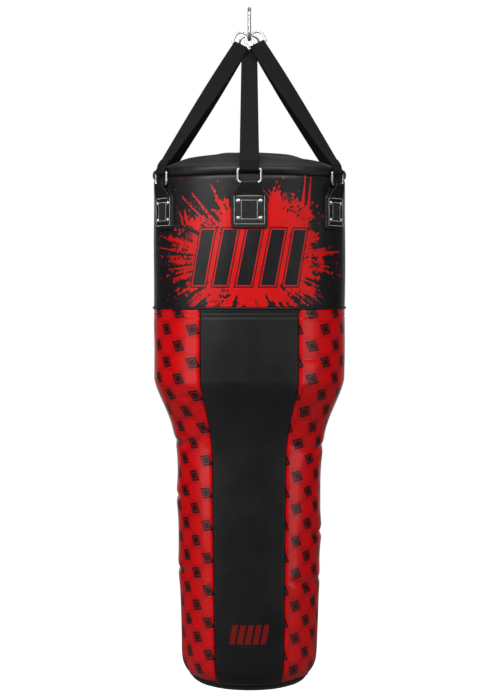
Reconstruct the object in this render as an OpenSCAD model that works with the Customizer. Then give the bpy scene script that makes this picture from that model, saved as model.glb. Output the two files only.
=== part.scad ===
// Heavy punching bag with a wide barrel over a narrower body, hung by six webbing runs.
// Origin: the point inside the top of the snap hook that bears on the support. +Z is up,
// +X is to the right and the front of the bag faces -Y. Millimetres.

/* [Bag] */
// Outer radius of the wide upper barrel
barrel_r = 225; // [215:1:235]
// Height of the upper barrel between the rim band and the piping
barrel_h = 300; // [280:5:320]
// Radius of the narrow body just below the shoulder
waist_r = 171; // [165:1:180]
// Radius of the narrow body where the lower edge starts to round
foot_r = 160.5; // [155:0.5:165]
// Radius of the flat base panel
base_r = 129; // [120:1:132]
// Straight part of the panels between the piping and the shoulder
collar_h = 165; // [150:5:180]
// Height of the shoulder, from wide to narrow
shoulder_h = 178; // [160:2:200]
// Height of the narrow body below the shoulder
waist_h = 470; // [440:5:480]
// Height of the rounded lower edge
toe_h = 60; // [55:1:65]
// Height of the lid's dome above its rim
dome_h = 48; // [40:1:55]
// Height of the rim band
rim_h = 20; // [16:1:24]
// Thickness of the synthetic leather skin
skin_t = 2.4; // [2:0.2:3]
// Thickness of the foam liner
liner_t = 12; // [8:1:16]
// Half of the angle that the black front and back panels take up
panel_half = 30; // [26:1:34]

/* [Hook] */
// Depth of the lid's rim below the hang point
rim_drop = 377; // [360:1:390]
// Overall length of the snap hook
hook_len = 80; // [78:1:82]
// Diameter of the hook's round bar
hook_bar = 8; // [7.6:0.1:8]
// Radius of the hook's bows, at the middle of the bar
bow_r = 16; // [16:0.5:17]
// Diameter of the gate
gate_d = 7; // [6:0.5:7.5]

/* [Rings] */
// Wire of every D-ring
ring_wire = 5; // [4.6:0.1:5]
// Inner width of the D-rings in the hook
ring_inner_w = 40; // [40:0.5:41]
// Inner width of the D-rings at the tabs
tab_ring_inner_w = 47; // [45:0.5:48]
// Height of a hook ring between the middles of its bar and its bow
top_ring_h = 31.5; // [31:0.5:32]
// Height of a tab ring between the middles of its bar and its bow
tab_ring_h = 28.9; // [28:0.1:30]
// Slope of the left and right hook rings
top_tilt = 26; // [24:1:28]

/* [Webbing] */
// Width of the webbing
web_w = 38; // [36:1:38]
// Width of the webbing where it bunches in a hook ring
web_fold_w = 33; // [31:1:33]
// Thickness of the webbing
web_t = 2.4; // [2:0.2:2.4]

/* [Tabs] */
// Number of tabs round the barrel
tab_count = 6; // [6:1:6]
// Width of a leather tab
tab_w = 79; // [74:1:80]
// Depth below the hang point of a tab's lower edge
tab_bottom_drop = 516; // [510:1:520]
// Depth below the hang point of the line where the neck reaches full width
tab_flare_drop = 444; // [440:1:448]
// Depth below the hang point of a tab ring's bar
tab_bar_drop = 387.4; // [386:0.2:389]
// Thickness of the leather tab
tab_t = 4; // [3.5:0.5:4.5]

/* [Hidden] */
TAB_NAMES = ["front", "front_left", "back_left", "back", "back_right", "front_right"];
$fn = 96;

black = [0.07, 0.07, 0.08];
web_black = [0.16, 0.16, 0.17];
red = [0.72, 0.01, 0.04];
steel = [0.82, 0.83, 0.85];

// Heights, all measured from the hang point
rim_z = -rim_drop;
band_z = rim_z - rim_h;
piping_z = band_z - barrel_h;
shoulder_z = piping_z - collar_h;
waist_z = shoulder_z - shoulder_h;
toe_z = waist_z - waist_h;
base_z = toe_z - toe_h;
piping_r = 3.5;
piping_gap = 1.2;
lid_edge_r = barrel_r - 3;
dome_power = 3;
lid_t = 3;
lid_gap = 1.5;
skin_gap = 0.1;
base_t = 5.8;
base_gap = 0.2;
base_inset = 3;
loop_len = 150;

// Hook
hook_r = hook_bar / 2;
bow_top_z = -(bow_r - hook_r);
bow_low_z = hook_bar - hook_len + hook_r + bow_r;
gate_pin_z = bow_low_z + 5;
gate_tip_z = bow_top_z - 2;
gate_gap = 0.4;
gate_foot_z = gate_pin_z + 4.6;
gate_slot_h = 12;
pin_r = 1.5;
pin_gap = 0.05;
spring_turns = 4;
spring_pitch = 2.2;
spring_r = 1.4;
spring_wire_r = 0.35;
spring_bore_r = 2;
spring_bore_h = 10;

// Rings
wire_r = ring_wire / 2;
ring_w = ring_inner_w + ring_wire;
tab_ring_w = tab_ring_inner_w + ring_wire;
bow_corner = 16;
tab_bow_corner = 7;
bar_corner = 3;
ring_clear = 0.3;
seat = hook_r + wire_r + ring_clear;
corner_angle = 28;
front_seat_y = -5.3;
back_seat_y = 5.3;
left_lean = -2;
right_lean = -13.4;
centre_lean = 18.5;

// Folds of webbing
fold_in = 4.5;
fold_up = 1.1;
fold_leg = 12;
fold_mid = fold_in + web_t / 2;
left_reach = 0.1;
right_reach = 0.6;
run_steps = 8;
bunch_from = 100;
bunch_over = 60;

// Tabs
tab_r0 = barrel_r + 0.3;
tab_r1 = tab_r0 + tab_t;
patch_t = 1.6;
insert_t = 1.4;
patch_w = 72;
patch_top_drop = 446;
patch_low_drop = 512;
insert_w = 36;
insert_top_drop = 456;
insert_low_drop = 498;
neck_w = 48;
neck_top_drop = 428;
ring_centre_r = barrel_r + 7.6;
bow_drop = tab_bar_drop + tab_ring_h;
sling_w = 36;
sling_in = wire_r + 0.4;
sling_play = 3.4;
sling_overlap = 1.2;
tab_chamfer = 5;
plate_h = 120;
rivet_r = 5;
rivet_dome_r = 6.5;
rivet_sink = 4.2;
rivet_x = 25.2;
rivet_drops = [457.4, 495.8];
strap_rim_r = barrel_r + 5.4;
strap_rim_drop = 372;
wrap_gap = 0.5;
wrap_r = wire_r + wrap_gap + web_t / 2;
tail_angle = -230;
wrap_end = 10;
wrap_step = 20;
fold_step = 22.5;

// ---------- outlines ----------

// Share of the shoulder's narrowing that is reached at the fraction t of its height
function shoulder_drop(t) = let (s = pow(t, 0.78)) s * s * (3 - 2 * s);

// How far the rounded lower edge has drawn in at the depth d below its start
function toe_drop(d) = let (k = d / toe_h) (foot_r - base_r) * (0.38 * k + 0.62 * k * k);

shoulder_steps = 9;
toe_steps = 5;
body_outline = concat(
    [[barrel_r, piping_z], [barrel_r, shoulder_z]],
    [for (i = [1 : shoulder_steps])
        [barrel_r - (barrel_r - waist_r) * shoulder_drop(i / shoulder_steps),
         shoulder_z - shoulder_h * i / shoulder_steps]],
    [for (i = [0 : toe_steps])
        [foot_r - toe_drop(toe_h * i / toe_steps), toe_z - toe_h * i / toe_steps]]);

function inset(outline, d) = [for (p = outline) [p[0] - d, p[1]]];
function reversed(list) = [for (i = [len(list) - 1 : -1 : 0]) list[i]];

dome_steps = 8;
function dome_outline(r, lift) = [for (i = [0 : dome_steps])
    let (k = i / dome_steps) [r * k, rim_z + lift + dome_h * (1 - pow(k, dome_power))]];

// ---------- helpers ----------

module wall(outer, inner, from, sweep) {
    rotate([0, 0, from])
        rotate_extrude(angle = sweep)
            polygon(concat(outer, reversed(inner)));
}

// Quarter bend of round wire about its own centre, from the +X side to the +Z side
module bend(radius, wire) {
    rotate([90, 0, 0])
        rotate_extrude(angle = 90)
            translate([radius, 0]) circle(wire);
}

module rod(from, to, wire) {
    d = to - from;
    translate(from)
        rotate([0, acos(d[2] / norm(d)), atan2(d[1], d[0])])
            cylinder(r = wire, h = norm(d));
}

// D-ring in the XZ plane: its bar lies along X through the origin and its bow is above
module d_ring(width, height, corner) {
    half = width / 2;
    rod([-half + bar_corner, 0, 0], [half - bar_corner, 0, 0], wire_r);
    rod([-half + corner, 0, height], [half - corner, 0, height], wire_r);
    for (side = [0, 1]) mirror([side, 0, 0]) {
        rod([half, 0, bar_corner], [half, 0, height - corner], wire_r);
        translate([half - corner, 0, height - corner]) bend(corner, wire_r);
        translate([half - bar_corner, 0, bar_corner]) mirror([0, 0, 1]) bend(bar_corner, wire_r);
    }
}

// Place of a hook ring: side is -1 left, 0 centre, 1 right
function ring_lean(side) = side == 0 ? centre_lean : side < 0 ? left_lean : right_lean;
function ring_offset(side) = -side * (ring_w / 2 - bow_corner + bow_corner * sin(corner_angle));
function ring_height(side) = top_ring_h - abs(side) * bow_corner * (1 - cos(corner_angle));
function ring_seat(side) =
    let (y = side == 0 ? back_seat_y : side < 0 ? 0 : front_seat_y,
         normal = -side * (top_tilt + corner_angle),
         reach = seat + (side < 0 ? left_reach : right_reach),
         bar_z = bow_low_z - sqrt(pow(bow_r, 2) - pow(y, 2)),
         rest_z = bow_low_z - sqrt(pow(bow_r - seat, 2) - pow(y, 2)))
    side == 0 ? [0, y, rest_z]
        : [reach * sin(normal), y, bar_z + reach * cos(normal)];

// Puts its children in the frame of a hook ring's bar
module at_top_ring(side) {
    translate(ring_seat(side))
        rotate([ring_lean(side), -side * top_tilt, 0])
            translate([-ring_offset(side), 0, -ring_height(side)])
                children();
}

// Places its children at a tab, with the barrel's radius along -Y at the front
module at_tab(i) {
    rotate([0, 0, -i * 360 / tab_count]) children();
}

function turn_x(v, a) = [v[0], v[1] * cos(a) - v[2] * sin(a), v[1] * sin(a) + v[2] * cos(a)];
function turn_y(v, a) = [v[0] * cos(a) + v[2] * sin(a), v[1], -v[0] * sin(a) + v[2] * cos(a)];
function turn_z(v, a) = [v[0] * cos(a) - v[1] * sin(a), v[0] * sin(a) + v[1] * cos(a), v[2]];
function unit(v) = v / norm(v);

// A point or direction given in the frame of a hook ring's bar, in the bag's frame
function ring_turn(side, v) = turn_y(turn_x(v, ring_lean(side)), -side * top_tilt);
function ring_place(side, v) =
    ring_seat(side) + ring_turn(side, v - [ring_offset(side), 0, ring_height(side)]);

// A point beside a tab: distance from the bag's axis and height
function tab_place(i, r, z) = turn_z([0, -r, z], -i * 360 / tab_count);
function tab_along(i, face) = turn_z([face < 0 ? 1 : -1, 0, 0], -i * 360 / tab_count);

// Stations of one run, from the tail of the webbing round the tab ring up to the hook ring.
// Each is a point and the direction of the webbing's width.
function run_stations(side, face, i) =
    let (along = tab_along(i, face), across = ring_turn(side, [1, 0, 0]),
         rim = tab_place(i, strap_rim_r, -strap_rim_drop),
         top = ring_place(side, [0, face * fold_mid, -fold_leg]))
    concat(
        [for (a = [tail_angle : wrap_step : wrap_end])
            [tab_place(i, ring_centre_r + wrap_r * cos(a), wrap_r * sin(a) - tab_bar_drop), along]],
        [for (n = [0 : run_steps - 1])
            let (t = n / run_steps)
            [rim + (top - rim) * t, unit(along * (1 - t) + across * t)]],
        [for (k = [0 : 1]) [top + ring_turn(side, [0, 0, k * fold_leg / 2]), across]]);

function fold_stations(side) = [for (a = [180 : -fold_step : 0])
    [ring_place(side, [0, fold_mid * cos(a), fold_up + fold_mid * sin(a)]),
     ring_turn(side, [1, 0, 0])]];

// Width of the webbing at the height z: it bunches towards the hook rings
function web_width(z) = web_fold_w
    + (web_w - web_fold_w) * min(1, max(0, (-z - bunch_from) / bunch_over));

// Closed band of webbing through a list of stations
module band(stations) {
    last = len(stations) - 1;
    corners = [for (k = [0 : last])
        let (here = stations[k][0],
             way = unit(stations[min(k + 1, last)][0] - stations[max(k - 1, 0)][0]),
             flat = stations[k][1] - way * (stations[k][1] * way),
             w = unit(flat) * web_width(here[2]) / 2,
             n = unit(cross(w, way)) * web_t / 2)
        each [here - w - n, here + w - n, here + w + n, here - w + n]];
    sides = [for (k = [0 : last - 1], e = [0 : 3])
        let (a = 4 * k + e, b = 4 * k + (e + 1) % 4)
        each [[a, b, a + 4], [b, b + 4, a + 4]]];
    top = 4 * last;
    polyhedron(corners, concat([[0, 3, 2], [0, 2, 1],
        [top, top + 1, top + 2], [top, top + 2, top + 3]], sides), convexity = 6);
}

// Plate that follows the barrel between two radii, cut to an outline given in width and height
module wrapped(r0, r1) {
    intersection() {
        translate([0, 0, -tab_bottom_drop - 10])
            difference() {
                cylinder(r = r1, h = plate_h, $fn = 180);
                translate([0, 0, -1]) cylinder(r = r0, h = plate_h + 2, $fn = 180);
            }
        rotate([90, 0, 0]) linear_extrude(r1 + 10) children();
    }
}

// ---------- hook ----------

// Half turn of the hook's bar in the YZ plane, open at the bottom
module bow() {
    rotate([0, 0, 90]) rotate([90, 0, 0])
        rotate_extrude(angle = 180) translate([bow_r, 0]) circle(hook_r);
}

module carabiner_body() color(steel) {
    translate([0, 0, bow_low_z]) mirror([0, 0, 1]) bow();
    translate([0, 0, bow_top_z]) bow();
    rod([0, bow_r, bow_low_z], [0, bow_r, bow_top_z], hook_r);
    translate([0, -bow_r, gate_tip_z]) cylinder(r = hook_r, h = bow_top_z - gate_tip_z);
    difference() {
        translate([0, -bow_r, bow_low_z]) cylinder(r = hook_r, h = gate_pin_z + 3 - bow_low_z);
        translate([-gate_d / 4 - gate_gap / 2, -bow_r - hook_bar, gate_pin_z - 4])
            cube([gate_d / 2 + gate_gap, 2 * hook_bar, gate_slot_h]);
        translate([-hook_bar, -bow_r, gate_pin_z]) rotate([0, 90, 0])
            cylinder(r = pin_r, h = 2 * hook_bar);
    }
}

module carabiner_gate() color(steel) difference() {
    union() {
        translate([-gate_d / 4, -bow_r - gate_d / 2 + 0.5, gate_pin_z - 3])
            cube([gate_d / 2, gate_d - 1, gate_foot_z - gate_pin_z + 4]);
        translate([0, -bow_r, gate_foot_z])
            cylinder(r = gate_d / 2, h = gate_tip_z - gate_foot_z - gate_gap);
    }
    translate([-hook_bar, -bow_r, gate_pin_z]) rotate([0, 90, 0])
        cylinder(r = pin_r + pin_gap, h = 2 * hook_bar);
    translate([0, -bow_r, gate_foot_z + 3]) cylinder(r = spring_bore_r, h = spring_bore_h);
}

module gate_pin() color(steel) {
    translate([-hook_r - 0.3, -bow_r, gate_pin_z]) rotate([0, 90, 0])
        cylinder(r = pin_r, h = hook_bar + 0.6);
}

// The spring's turns are drawn as closed rings
module gate_spring() color(steel) {
    for (k = [0 : spring_turns - 1])
        translate([0, -bow_r, gate_foot_z + 4 + k * spring_pitch])
            rotate_extrude() translate([spring_r, 0]) circle(spring_wire_r, $fn = 24);
}

// ---------- rings and webbing ----------

module top_ring(side) color(steel) at_top_ring(side)
    d_ring(ring_w, top_ring_h, bow_corner);

module strap(side, front_tab, back_tab) color(web_black)
    band(concat(run_stations(side, -1, front_tab), fold_stations(side),
                reversed(run_stations(side, 1, back_tab))));

module tab_ring(i) color(steel) at_tab(i)
    translate([0, -ring_centre_r, -tab_bar_drop])
        mirror([0, 0, 1]) d_ring(tab_ring_w, tab_ring_h, tab_bow_corner);

// ---------- tabs ----------

module tab_outline() {
    polygon([[-neck_w / 2, -neck_top_drop], [neck_w / 2, -neck_top_drop],
             [tab_w / 2, -tab_flare_drop], [tab_w / 2, -tab_bottom_drop + tab_chamfer],
             [tab_w / 2 - tab_chamfer, -tab_bottom_drop], [-tab_w / 2 + tab_chamfer, -tab_bottom_drop],
             [-tab_w / 2, -tab_bottom_drop + tab_chamfer], [-tab_w / 2, -tab_flare_drop]]);
}

module leather_tab(i) color(black) at_tab(i) wrapped(tab_r0, tab_r1) tab_outline();

module tab_patch(i) color(black) at_tab(i) wrapped(tab_r1, tab_r1 + patch_t)
    difference() {
        translate([-patch_w / 2, -patch_low_drop]) square([patch_w, patch_low_drop - patch_top_drop]);
        insert_outline(0.3);
    }

module insert_outline(grow) {
    translate([-insert_w / 2 - grow, -insert_low_drop - grow])
        square([insert_w + 2 * grow, insert_low_drop - insert_top_drop + 2 * grow]);
}

module tab_insert(i) color(web_black) at_tab(i) wrapped(tab_r1, tab_r1 + insert_t)
    insert_outline(0);

// Neck that wraps the bow of a tab ring and runs down onto the leather tab
module tab_sling(i) color(black) at_tab(i) difference() {
    union() {
        across_tab(sling_w) sling_loop(sling_in + web_t);
        across_tab(sling_w) sling_neck(-bow_drop - sling_in - web_t + sling_overlap);
    }
    across_tab(sling_w + 2) sling_loop(sling_in);
}

// Extrudes an outline given in radius and height across a tab's middle
module across_tab(w) {
    translate([-w / 2, 0, 0]) rotate([90, 0, 90]) linear_extrude(w) children();
}

// Slot shape round the ring's bow, in the plane of radius and height
module sling_loop(r) {
    translate([-ring_centre_r, -bow_drop]) {
        circle(r);
        translate([-sling_play, 0]) circle(r);
        translate([-sling_play, -r]) square([sling_play, 2 * r]);
    }
}

module sling_neck(top) {
    foot = -patch_top_drop + 0.2;
    back = -tab_r1 - 0.1;
    polygon([[-ring_centre_r - sling_play - 2, top], [-ring_centre_r + 2, top],
             [back, -neck_top_drop + 1], [back, foot], [back - web_t, foot]]);
}

module tab_rivets() color(steel) for (i = [0 : tab_count - 1], x = [-1, 1], d = rivet_drops) {
    at_tab(i) translate([0, 0, -d])
        rotate([0, 0, x * asin(rivet_x / tab_r1)])
            translate([0, -tab_r1 - patch_t - 0.1, 0])
                rotate([90, 0, 0]) intersection() {
                    translate([0, 0, -rivet_sink]) sphere(r = rivet_dome_r, $fn = 48);
                    cylinder(r = rivet_r, h = rivet_dome_r);
                }
}

// ---------- bag ----------

module lid() color(black) rotate_extrude()
    polygon(concat(dome_outline(lid_edge_r, 0), reversed(dome_outline(lid_edge_r, -lid_t))));

module rim_band() color(black) rotate_extrude() {
    edge = 60;
    bulge = 5;
    polygon(concat([[lid_edge_r + 0.2, rim_z]],
        [for (a = [edge : -edge / 2 : -edge])
            [lid_edge_r + bulge * cos(a), rim_z - rim_h / 2 * (1 - sin(a) / sin(edge))]],
        [[lid_edge_r + 0.2, band_z]]));
}

module barrel_shell() color(black) rotate_extrude()
    translate([barrel_r - skin_t, piping_z + piping_gap])
        square([skin_t, barrel_h - piping_gap - skin_gap]);

module seam_piping() color(black) rotate_extrude() translate([barrel_r - 0.4, piping_z])
    intersection() {
        circle(piping_r, $fn = 32);
        translate([-2, -1]) square([2 * piping_r + 2, 2.1]);
    }

module body_panel(from, sweep) {
    wall(trimmed(body_outline), trimmed(inset(body_outline, skin_t)), from, sweep);
}

// The body outline with its first point lowered to leave room for the piping
function trimmed(outline) = concat([[outline[0][0], piping_z - piping_gap]],
    [for (i = [1 : len(outline) - 1]) outline[i]]);

module front_panel() color(black) body_panel(-90 - panel_half, 2 * panel_half);
module back_panel() color(black) body_panel(90 - panel_half, 2 * panel_half);
module side_panel_left() color(red) body_panel(90 + panel_half, 180 - 2 * panel_half);
module side_panel_right() color(red) body_panel(-90 + panel_half, 180 - 2 * panel_half);

module base_panel() color(black) translate([0, 0, base_z - base_gap - base_t])
    cylinder(r = base_r - base_inset, h = base_t);

module base_loop() color(web_black)
    translate([-web_w / 2, -loop_len / 2, base_z - 2 * base_gap - base_t - web_t])
        cube([web_w, loop_len, web_t]);

module foam_liner() color("gainsboro")
    wall(liner_outline(skin_t + skin_gap), liner_outline(skin_t + liner_t), 0, 360);

// The whole side wall, from under the lid's rim to the base
function liner_outline(d) = concat([[barrel_r - d, band_z - 0.3]],
    [for (p = body_outline) [p[0] - d, max(p[1], base_z + 0.4)]]);

module textile_filling() color("tan") rotate_extrude()
    polygon(concat(
        [[0, base_z + 0.4]],
        reversed(liner_outline(skin_t + liner_t + skin_gap)),
        reversed(dome_outline(barrel_r - skin_t - liner_t - skin_gap, -lid_t - lid_gap))));

// ---------- assembly ----------

carabiner_body();
carabiner_gate();
gate_pin();
gate_spring();
top_ring(-1);  // top_ring_left
top_ring(0);  // top_ring_centre
top_ring(1);  // top_ring_right
strap(-1, 1, 2);  // strap_left
strap(0, 0, 3);  // strap_centre
strap(1, 5, 4);  // strap_right
lid();
rim_band();
barrel_shell();
seam_piping();
front_panel();
back_panel();
side_panel_left();
side_panel_right();
base_panel();
base_loop();
foam_liner();
textile_filling();
tab_rivets();
for (i = [0 : tab_count - 1]) {
    tab_ring(i);
    tab_sling(i);
    leather_tab(i);
    tab_patch(i);
    tab_insert(i);
}
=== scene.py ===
# %% [markdown]
# # A heavy punching bag on six runs of webbing
# The real object is a stuffed bag: a wide barrel of black synthetic leather sits on a narrower
# body of four sewn panels, and three lengths of webbing carry it all from one snap hook. Steel
# parts can stay as the frame has them. Everything soft is remade here as a surface with seams,
# stitches and creases, because that is what tells the eye that a thing is sewn and filled.

# %% Load the frame
import math

import bpy
from mathutils import Matrix, Vector, noise


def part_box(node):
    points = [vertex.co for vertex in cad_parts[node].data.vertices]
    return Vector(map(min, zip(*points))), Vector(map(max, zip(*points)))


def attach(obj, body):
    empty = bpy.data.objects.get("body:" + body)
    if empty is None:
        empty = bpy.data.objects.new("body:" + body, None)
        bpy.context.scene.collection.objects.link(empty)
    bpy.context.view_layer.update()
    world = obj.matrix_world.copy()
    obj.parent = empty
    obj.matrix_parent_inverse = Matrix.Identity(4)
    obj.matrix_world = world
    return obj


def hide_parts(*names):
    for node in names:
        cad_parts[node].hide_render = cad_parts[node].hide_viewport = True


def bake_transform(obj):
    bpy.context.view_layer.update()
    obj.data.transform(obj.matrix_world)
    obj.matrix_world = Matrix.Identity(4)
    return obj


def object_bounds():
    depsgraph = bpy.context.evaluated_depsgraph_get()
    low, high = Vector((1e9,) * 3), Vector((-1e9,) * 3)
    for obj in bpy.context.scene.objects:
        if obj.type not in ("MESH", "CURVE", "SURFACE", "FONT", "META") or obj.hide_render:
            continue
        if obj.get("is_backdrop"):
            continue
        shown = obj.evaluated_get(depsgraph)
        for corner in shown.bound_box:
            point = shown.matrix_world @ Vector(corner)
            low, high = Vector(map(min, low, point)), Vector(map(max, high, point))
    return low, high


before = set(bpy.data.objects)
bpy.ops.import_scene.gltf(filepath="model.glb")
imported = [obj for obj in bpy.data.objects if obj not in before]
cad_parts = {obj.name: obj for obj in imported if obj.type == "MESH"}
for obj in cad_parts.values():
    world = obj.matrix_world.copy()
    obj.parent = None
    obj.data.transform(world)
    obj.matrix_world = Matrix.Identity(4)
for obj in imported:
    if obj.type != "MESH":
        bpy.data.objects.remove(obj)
cad_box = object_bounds()
MM = 0.001

# %% [markdown]
# ## Measures
# The main heights and radii come from the frame's own boxes, and the other measures are given in
# millimetres. Angles run round the bag in degrees: 0 is the front and + is to the viewer's right.

# %% Measures from the frame
BARREL_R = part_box("barrel_shell")[1].x
RIM_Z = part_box("rim_band")[1].z
BAND_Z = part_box("rim_band")[0].z
PIPING_Z = (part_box("seam_piping")[0].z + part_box("seam_piping")[1].z) / 2
BASE_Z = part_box("front_panel")[0].z
DOME_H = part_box("lid")[1].z - RIM_Z
LID_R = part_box("lid")[1].x
SHOULDER_Z = PIPING_Z - 165 * MM
WAIST_Z = SHOULDER_Z - 178 * MM
TOE_Z = BASE_Z + 60 * MM
WAIST_R = 171 * MM
FOOT_R = 160.5 * MM
BASE_R = 129 * MM
PANEL_HALF = 30
TABS = {"front": 0, "front_left": -60, "back_left": -120,
        "back": 180, "back_right": 120, "front_right": 60}
SKIN_THICK = 2 * MM
SEAM_GAP = 1.5 * MM
print(f"barrel {2 * BARREL_R:.3f} m across; heights: rim {RIM_Z:.3f}, piping {PIPING_Z:.3f}, "
      f"base {BASE_Z:.3f}")

# %% [markdown]
# ## Camera
# A long lens from four metres away, a little above the middle of the bag, keeps the sides of the
# barrel almost parallel. It looks two degrees down, so the underside of the base stays hidden.

# %% Camera
def put(name, data):
    """A new object in the scene that shows the given data."""
    made = bpy.data.objects.new(name, data)
    bpy.context.scene.collection.objects.link(made)
    return made


EYE = Vector((1.5 * MM, -4.05, -0.656))
LOOK_DOWN = 2.0
LENS = 88.2

camera_data = bpy.data.cameras.new("camera")
camera_data.lens = LENS
camera = put("camera", camera_data)
camera.location = EYE
camera.rotation_euler = (math.radians(90 - LOOK_DOWN), 0, 0)
bpy.context.scene.camera = camera
print(f"camera {EYE.length:.2f} m from the hang point, {LENS} mm lens")

# %% [markdown]
# ## Studio
# Black leather shows nothing but what it reflects, so the light is the look. Three large soft boxes
# stand high in front, so that an upright surface reflects only their lower edges: the barrel takes
# a soft sheen and the body below stays dark. A weak one at barrel height adds a streak, two low
# ones light the sides of the body, and one above and behind lights the lid.

# %% Lights
def soft_box(name, place, aim, size, power):
    data = bpy.data.lights.new(name, "AREA")
    data.shape = "RECTANGLE"
    data.size, data.size_y = size
    data.energy = power
    lamp = put(name, data)
    lamp.location = place
    lamp.rotation_euler = (Vector(aim) - Vector(place)).to_track_quat("-Z", "Y").to_euler()
    lamp.visible_camera = False


LAMPS = [
    ("key", (-2.0, -2.2, 1.15), (0, 0, -0.85), (1.5, 1.9), 76),
    ("fill", (2.1, -2.2, 1.25), (0, 0, -0.85), (1.3, 1.7), 66),
    ("brow", (-0.2, -2.3, 0.75), (0, 0, -0.7), (1.3, 0.6), 34),
    ("streak", (-2.3, -1.9, 0.15), (0, 0, -0.4), (0.7, 0.9), 13),
    ("low_left", (-2.6, -0.9, -1.2), (0, 0, -1.2), (0.8, 1.2), 7),
    ("low_right", (2.6, -0.9, -1.2), (0, 0, -1.2), (0.8, 1.2), 7),
    ("top", (0, 0.9, 2.1), (0, 0, -0.3), (1.6, 1.6), 22),
]
for lamp in LAMPS:
    soft_box(*lamp)
print("soft boxes, in watts:", {lamp[0]: lamp[-1] for lamp in LAMPS})

# %% [markdown]
# ## Sky and floor
# The eye sees a white backdrop, but the leather has to reflect a studio that is dark in front and
# pale behind, where it draws a thin light line down each side of the bag. Light Path tells a ray
# from the eye apart from a reflected one, so one sky gives both. The floor is a plain pale disc
# well below the bag, bright to the eye and dim in reflections.

# %% Sky
DARK_SIDE, PALE_SIDE = 0.05, 0.85
world = bpy.data.worlds.new("studio")
bpy.context.scene.world = world
world.use_nodes = True
sky = world.node_tree
seen = sky.nodes["Background"]
seen.inputs["Color"].default_value = (1, 1, 1, 1)
seen.inputs["Strength"].default_value = 1.0
felt = sky.nodes.new("ShaderNodeBackground")
toward = sky.nodes.new("ShaderNodeSeparateXYZ")
sky.links.new(sky.nodes.new("ShaderNodeTexCoord").outputs["Generated"], toward.inputs[0])
glow = sky.nodes.new("ShaderNodeMapRange")
glow.interpolation_type = "SMOOTHSTEP"
for label, value in (("From Min", 0.84), ("From Max", 1.0),
                     ("To Min", DARK_SIDE), ("To Max", PALE_SIDE)):
    glow.inputs[label].default_value = value
sky.links.new(toward.outputs["Y"], glow.inputs["Value"])
sky.links.new(glow.outputs[0], felt.inputs["Strength"])
kind_of_ray = sky.nodes.new("ShaderNodeLightPath")
choice = sky.nodes.new("ShaderNodeMixShader")
sky.links.new(kind_of_ray.outputs["Is Camera Ray"], choice.inputs["Fac"])
sky.links.new(felt.outputs["Background"], choice.inputs[1])
sky.links.new(seen.outputs["Background"], choice.inputs[2])
sky.links.new(choice.outputs["Shader"], sky.nodes["World Output"].inputs["Surface"])
bpy.context.scene.view_settings.view_transform = "Standard"
print(f"sky of strength {DARK_SIDE} in front and {PALE_SIDE} behind")

# %% Floor
FLOOR_Z = BASE_Z - 0.42
FLOOR_R = 3.4
floor_mesh = bpy.data.meshes.new("floor")
FLOOR_SIDES = 96
rim = [(FLOOR_R * math.cos(k * math.tau / FLOOR_SIDES),
        FLOOR_R * math.sin(k * math.tau / FLOOR_SIDES), FLOOR_Z) for k in range(FLOOR_SIDES)]
floor_mesh.from_pydata(rim, [], [list(range(FLOOR_SIDES))])
floor = put("floor", floor_mesh)
floor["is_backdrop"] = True
print(f"floor {BASE_Z - FLOOR_Z:.2f} m under the bag")

# %% [markdown]
# ## Wiring shader nodes
# A procedural finish is a small calculation. `Wiring` adds a node and joins its inputs in one
# call, so a finish can be read as a list of steps instead of a page of links.

# %% Wiring
class Wiring:
    def __init__(self, tree):
        self.tree = tree

    def node(self, kind, **settings):
        made = self.tree.nodes.new("ShaderNode" + kind)
        for key, value in settings.items():
            setattr(made, key, value)
        return made

    def feed(self, socket, value):
        if isinstance(value, bpy.types.NodeSocket):
            self.tree.links.new(value, socket)
        else:
            socket.default_value = value

    def calc(self, operation, *values):
        made = self.node("Math", operation=operation)
        for socket, value in zip(made.inputs, values):
            self.feed(socket, value)
        return made.outputs[0]

    def fade(self, value, low, high):
        """0 below low, 1 above high, and a smooth step between them."""
        made = self.node("MapRange", interpolation_type="SMOOTHSTEP")
        for name, number in (("Value", value), ("From Min", low), ("From Max", high)):
            self.feed(made.inputs[name], number)
        return made.outputs[0]

    def mix(self, share, a, b):
        made = self.node("Mix", data_type="RGBA")
        for index, value in ((0, share), (6, a), (7, b)):
            self.feed(made.inputs[index], value)
        return made.outputs[2]

    def noise(self, place, scale, detail=2.0, roughness=0.5):
        made = self.node("TexNoise")
        for name, value in (("Vector", place), ("Scale", scale), ("Detail", detail),
                            ("Roughness", roughness)):
            self.feed(made.inputs[name], value)
        return made.outputs["Fac"]

    def cells(self, place, scale, feature="F1", output="Distance"):
        made = self.node("TexVoronoi", feature=feature)
        self.feed(made.inputs["Vector"], place)
        self.feed(made.inputs["Scale"], scale)
        return made.outputs[output]

    def pair(self, x, y):
        made = self.node("CombineXYZ")
        self.feed(made.inputs[0], x)
        self.feed(made.inputs[1], y)
        return made.outputs[0]

    def split(self, vector):
        made = self.node("SeparateXYZ")
        self.feed(made.inputs[0], vector)
        return made.outputs[0], made.outputs[1]

    def use(self, group, **values):
        made = self.node("Group", node_tree=group)
        for name, value in values.items():
            self.feed(made.inputs[name.replace("_", " ")], value)
        return made.outputs


def new_group(name, inputs, outputs):
    """An empty shader node group: its wiring, its inputs and its outputs by name."""
    tree = bpy.data.node_groups.new(name, "ShaderNodeTree")
    for label, kind, value in inputs:
        socket = tree.interface.new_socket(label, in_out="INPUT", socket_type="NodeSocket" + kind)
        if value is not None:
            socket.default_value = value
    for label in outputs:
        tree.interface.new_socket(label, in_out="OUTPUT", socket_type="NodeSocketFloat")
    inside = tree.nodes.new("NodeGroupInput").outputs
    out = tree.nodes.new("NodeGroupOutput").inputs
    print("effect:", name, "gives", ", ".join(outputs))
    return tree, Wiring(tree), inside, out


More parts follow.
